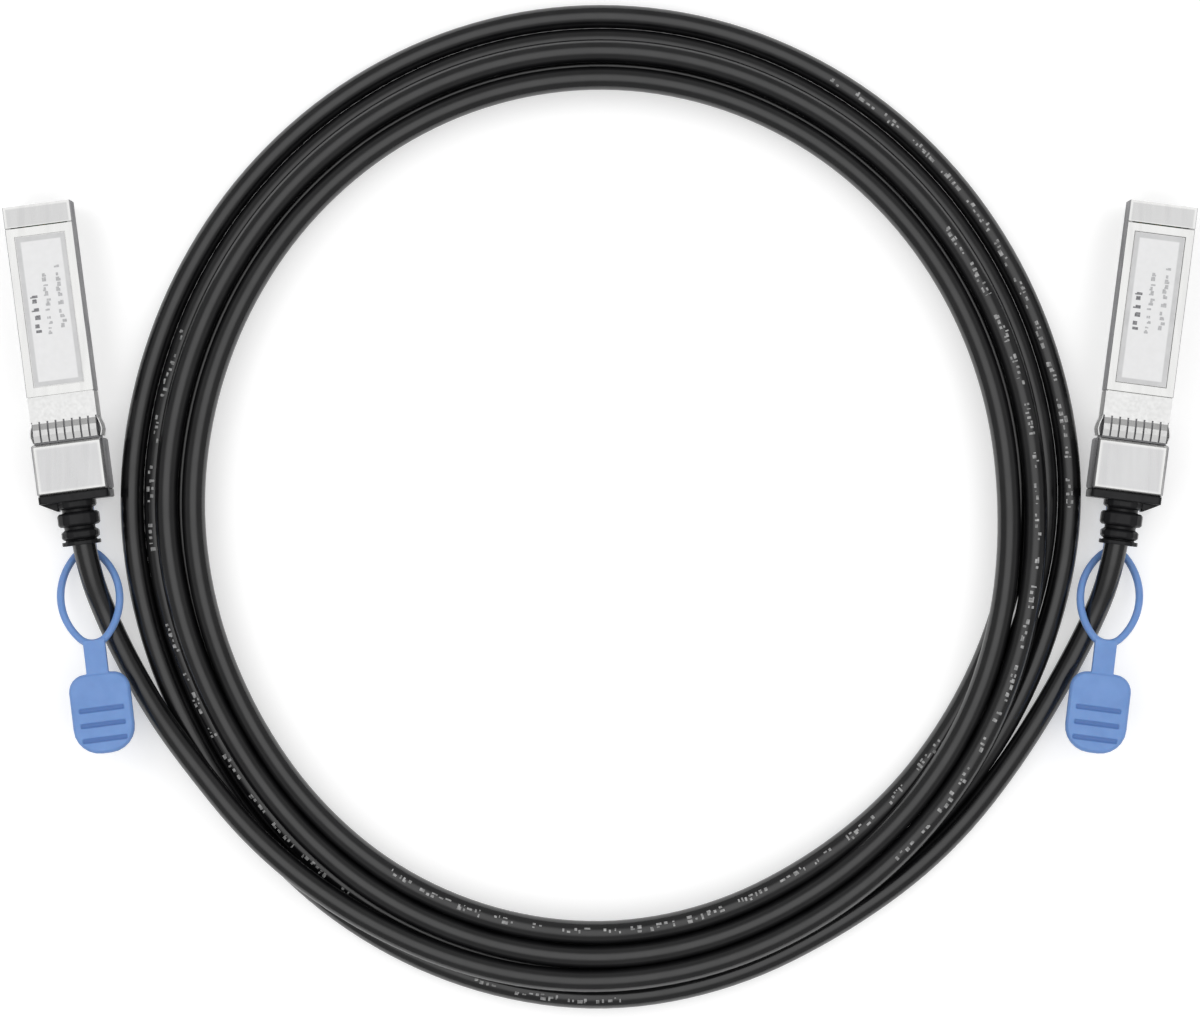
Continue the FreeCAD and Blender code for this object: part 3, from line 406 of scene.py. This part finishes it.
# ------------------------------------------------------------ the floor
def plain_floor():
    """A pale floor with a glow that only the camera, reflections and clear surfaces see."""
    mesh = bpy.data.meshes.new("floor")
    corners = [(x * FLOOR_HALF, y * FLOOR_HALF, 0) for x, y in ((-1, -1), (1, -1), (1, 1), (-1, 1))]
    mesh.from_pydata(corners, [], [(0, 1, 2, 3)])
    floor = bpy.data.objects.new("floor", mesh)
    floor.location.z = -0.02 * MM
    scene.collection.objects.link(floor)
    surface = Surface("floor", (0.76, 0.76, 0.76), 0.7).mottle(3, (0.77, 0.77, 0.77))
    path = surface.node("ShaderNodeLightPath")
    seen = surface.node("ShaderNodeMath", operation="MAXIMUM")
    glow = surface.node("ShaderNodeMath", operation="MULTIPLY")
    glow.inputs[1].default_value = FLOOR_GLOW
    mirrored = surface.node("ShaderNodeMath", operation="MAXIMUM")
    surface.link(path.outputs["Is Camera Ray"], seen.inputs[0])
    surface.link(path.outputs["Is Transmission Ray"], seen.inputs[1])
    surface.link(seen.outputs[0], mirrored.inputs[0])
    surface.link(path.outputs["Is Glossy Ray"], mirrored.inputs[1])
    surface.link(mirrored.outputs[0], glow.inputs[0])
    surface.shader.inputs["Emission Color"].default_value = (1, 1, 1, 1)
    surface.link(glow.outputs[0], surface.shader.inputs["Emission Strength"])
    dress(floor, surface)


plain_floor()

# ------------------------------------------------------------ the cable
CABLE = 4.7 * MM
COIL_MIDDLE = Vector((0.2, -6.114)) * MM
# the line of the outermost strand on the floor, as the half widths of an oval
LINE_ACROSS = 93.85
LINE_ALONG = 98.35
LOW, HIGH = 2.35, 6.42
STEP = 15
# where the left lead joins the coil: its angle, its inset (outside the outermost line) and its height
JOIN_ANGLE = 202.5
JOIN_INSET = -2.9
JOIN_HEIGHT = 4.4

LEFT_LEAD = [(-104.71, -1.41, 6.4), (-102.79, -16.19, 6.2), (-98.0, -30.01, 2.45)]
RIGHT_LEAD = [(98.2, -30.01, 2.45), (102.79, -16.19, 6.4), (104.71, -1.41, 6.4)]

# How far each turn lies inside the outermost line, in millimetres, at these angles round the coil
# (0 is towards +X and the turns run anticlockwise). The first two turns and most of the third
# lie on top of the others, and the last one comes out under the first.
ANGLES = (210, 240, 270, 300, 330, 360, 540)
TURNS = [
    (-0.6, 2.8, 4.1, 5.2, 5.9, 7.4, 7.3),
    (8.8, 8.4, 8.8, 9.9, 10.6, 12.8, 12.7),
    (13.5, 13.1, 13.6, 14.6, 12.7, 10.0, 9.9),
    (11.1, 10.6, 11.0, 12.1, 8.1, 4.72, 4.68),
    (6.2, 5.4, 5.6, 6.4, 3.3, 0.02, 0.0),
    (1.6, 0.8, 0.2, 1.7, -1.3),
]
DIVE = (2 * 360 + 300, 2 * 360 + 330)


def coil_points():
    """Control points of the coiled turns, from the left lead to the right one."""
    knots = [(JOIN_ANGLE, JOIN_INSET)]
    for order, insets in enumerate(TURNS):
        knots += [(angle + order * 360, inset) for angle, inset in zip(ANGLES, insets)]
    angles, insets = zip(*knots)
    heights = ((JOIN_ANGLE, JOIN_HEIGHT), (ANGLES[0], HIGH), (DIVE[0], HIGH), (DIVE[1], LOW))
    swell = 1 / math.cos(math.radians(STEP / 2))
    points = []
    for angle in [JOIN_ANGLE, *range(ANGLES[0], int(angles[-1]) + 1, STEP)]:
        turn = math.radians(angle)
        across, along = math.cos(turn), math.sin(turn)
        line = LINE_ACROSS * LINE_ALONG / math.hypot(LINE_ALONG * across, LINE_ACROSS * along)
        radius = (line - float(np.interp(angle, angles, insets))) * swell * MM
        height = float(np.interp(angle, *zip(*heights))) * MM
        points.append((COIL_MIDDLE.x + radius * across, COIL_MIDDLE.y + radius * along, height))
    return points


def spline_curve(name, points):
    """An open, smooth curve that has these control points."""
    data = bpy.data.curves.new(name, "CURVE")
    data.dimensions = "3D"
    spline = data.splines.new("NURBS")
    spline.points.add(len(points) - 1)
    for point, place in zip(spline.points, points):
        point.co = (*place, 1)
    spline.order_u = 3
    spline.use_endpoint_u = True
    data.resolution_u = 8
    curve = bpy.data.objects.new(name, data)
    scene.collection.objects.link(curve)
    return curve


def in_metres(points):
    return [tuple(value * MM for value in point) for point in points]


cable = spline_curve("cable", in_metres(LEFT_LEAD) + coil_points() + in_metres(RIGHT_LEAD))
centre_line = bpy.data.meshes.new_from_object(cable)
route = [vertex.co.copy() for vertex in centre_line.vertices]
cable.data.bevel_depth = CABLE / 2
cable.data.bevel_resolution = 7
dress(cable, jacket)
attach(cable, "shell")
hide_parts("cable_coil", "left_lead", "right_lead")
reach = [0.0]
for here, there in zip(route, route[1:]):
    reach.append(reach[-1] + (there - here).length)


# ------------------------------------------------------------ print on the jacket
def turned_angles():
    """The angle round the coil at each point of the route, in degrees, growing along the cable."""
    angles = []
    for point in route:
        angle = math.degrees(math.atan2(point.y - COIL_MIDDLE.y, point.x - COIL_MIDDLE.x))
        while angles and angle < angles[-1] - 180:
            angle += 360
        angles.append(angle if angles else angle % 360)
    return angles


# stretches where the print faces up: angles from and to, and how far the print is rolled off the top
PRINTED = (
    (310, 395, 4), (960, 1045, -12), (1597, 1625, 18),
    (1635, 1678, 18), (1800, 1862, -6), (2055, 2070, 10),
)
INK_LIFT = 0.02 * MM


def piece_from(name, vertices, faces, surface):
    """A mesh of its own, with one material."""
    mesh = bpy.data.meshes.new(name)
    mesh.from_pydata(vertices, [], faces)
    mesh.validate()
    piece = bpy.data.objects.new(name, mesh)
    scene.collection.objects.link(piece)
    dress(piece, surface)
    return piece


def jacket_print():
    """Groups of small marks, bent to the jacket and laid along the cable."""
    dice = random.Random(7)
    angles = turned_angles()
    vertices = []
    faces = []

    def at(distance):
        """The point of the centre line this far along the cable."""
        return Vector([float(np.interp(distance, reach, [point[i] for point in route])) for i in range(3)])

    def mark(start, length, low, high):
        """A patch of the jacket between two distances and two rolls, in degrees from the top."""
        first = len(vertices)
        for step in range(3):
            distance = start + length * step / 2
            here = at(distance)
            along = (at(distance + MM) - at(distance - MM)).normalized()
            side = along.cross(UP).normalized()
            top = side.cross(along).normalized()
            for share in range(4):
                roll = math.radians(low + (high - low) * share / 3)
                out = top * math.cos(roll) + side * math.sin(roll)
                vertices.append(here + out * (CABLE / 2 + INK_LIFT))
        for row in range(2):
            for column in range(3):
                corner = first + row * 4 + column
                faces.append((corner, corner + 1, corner + 5, corner + 4))

    for begin, end, roll in PRINTED:
        start, stop = np.interp((begin, end), angles, reach)
        distance = float(start)
        while distance < stop:
            for _ in range(dice.randint(2, 7)):
                length = dice.uniform(0.35, 1.3) * MM
                for _ in range(dice.randint(1, 2)):
                    low = roll + dice.uniform(-17, 8)
                    mark(distance, length * dice.uniform(0.4, 1), low, low + dice.uniform(6, 18))
                distance += length + dice.uniform(0.2, 0.5) * MM
            distance += dice.uniform(1.2, 4.0) * MM
    return piece_from("jacket_print", vertices, faces, jacket_ink)


marks = jacket_print()
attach(marks, "shell")


# ------------------------------------------------------------ label marks
def label_marks(side):
    """Rows of plain dashes along the label."""
    dice = random.Random(11)
    film_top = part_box(side + "_label")[1].z / MM + 0.004
    made = []
    for name, surface, rows in (
        ("label_marks", label_ink, ((-2.9, 1.3, 22.0, 29.5),)),
        ("label_faint_marks", faint_ink, ((-0.3, 1.0, 21.5, 33.0), (2.3, 0.9, 22.5, 34.5))),
    ):
        vertices = []
        faces = []
        for x, tall, low, high in rows:
            y = low
            while y < high:
                for _ in range(2):
                    length = dice.uniform(0.25, 0.9)
                    near = x + dice.uniform(-0.5, 0.1) * tall
                    far = near + dice.uniform(0.25, 0.9) * tall
                    first = len(vertices)
                    corners = ((near, y), (far, y), (far, y + length), (near, y + length))
                    vertices += in_plug(side, [(*corner, film_top) for corner in corners])
                    faces.append(tuple(range(first, first + 4)))
                    film_top += 0.0005
                y += 0.95 + dice.choice((0.0, 0.1, 0.7))
        made.append(piece_from(f"{side}_{name}", vertices, faces, surface))
    return made


for side in SIDES:
    for piece in label_marks(side):
        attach(piece, "shell")


# ------------------------------------------------------------ softened edges
def copy_of(node):
    """A free copy of a CAD node, without what ties the node to its body."""
    piece = nodes[node].copy()
    piece.data = nodes[node].data.copy()
    piece.parent = None
    piece.name = node + "_finish"
    for key in list(piece.keys()):
        del piece[key]
    scene.collection.objects.link(piece)
    return piece


def settle(piece):
    """Bakes a piece's modifiers into its mesh."""
    bpy.context.view_layer.update()
    done = bpy.data.meshes.new_from_object(piece.evaluated_get(bpy.context.evaluated_depsgraph_get()))
    piece.modifiers.clear()
    piece.data = done
    return piece


def bevelled(node, width):
    """A copy of a metal piece whose sharp edges are broken, so that they catch the light."""
    piece = copy_of(node)
    mesh = bmesh.new()
    mesh.from_mesh(piece.data)
    bmesh.ops.remove_doubles(mesh, verts=mesh.verts, dist=0.000002)
    bmesh.ops.dissolve_limit(mesh, angle_limit=math.radians(1), verts=mesh.verts, edges=mesh.edges)
    for face in mesh.faces:
        face.smooth = True
    mesh.to_mesh(piece.data)
    mesh.free()
    bevel = piece.modifiers.new("edges", "BEVEL")
    bevel.width = width
    bevel.segments = 2
    bevel.limit_method = "ANGLE"
    bevel.angle_limit = math.radians(32)
    normals = piece.modifiers.new("normals", "WEIGHTED_NORMAL")
    normals.weight = 100
    return settle(piece)


def moulded(node, voxel, rounds, kept):
    """A copy of a moulded piece whose edges are rounded all over."""
    piece = copy_of(node)
    remesh = piece.modifiers.new("remesh", "REMESH")
    remesh.mode = "VOXEL"
    remesh.voxel_size = voxel
    smooth = piece.modifiers.new("smooth", "SMOOTH")
    smooth.factor = 0.5
    smooth.iterations = rounds
    thin = piece.modifiers.new("thin", "DECIMATE")
    thin.ratio = kept
    settle(piece)
    piece.data.shade_smooth()
    return piece


BROKEN_EDGE = 0.12 * MM

for side in SIDES:
    for kind in ("housing_base", "housing_cover"):
        node = f"{side}_{kind}"
        piece = bevelled(node, BROKEN_EDGE)
        dress(piece, shell_metal[side])
        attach(piece, "shell")
        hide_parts(node)
    ring = moulded(side + "_pull_ring", 0.13 * MM, 7, 0.3)
    dress(ring, pull_plastic[side])
    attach(ring, side + "_release")
    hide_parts(side + "_pull_ring")
    sleeve = moulded(side + "_boot", 0.12 * MM, 4, 0.35)
    dress(sleeve, boot_rubber)
    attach(sleeve, "shell")
    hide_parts(side + "_boot")
    # a free copy of the leaf spring, its place baked into its mesh, stands in for the CAD one
    leaf = copy_of(side + "_latch_spring")
    dress(leaf, spring_metal)
    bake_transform(leaf)
    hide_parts(side + "_latch_spring")
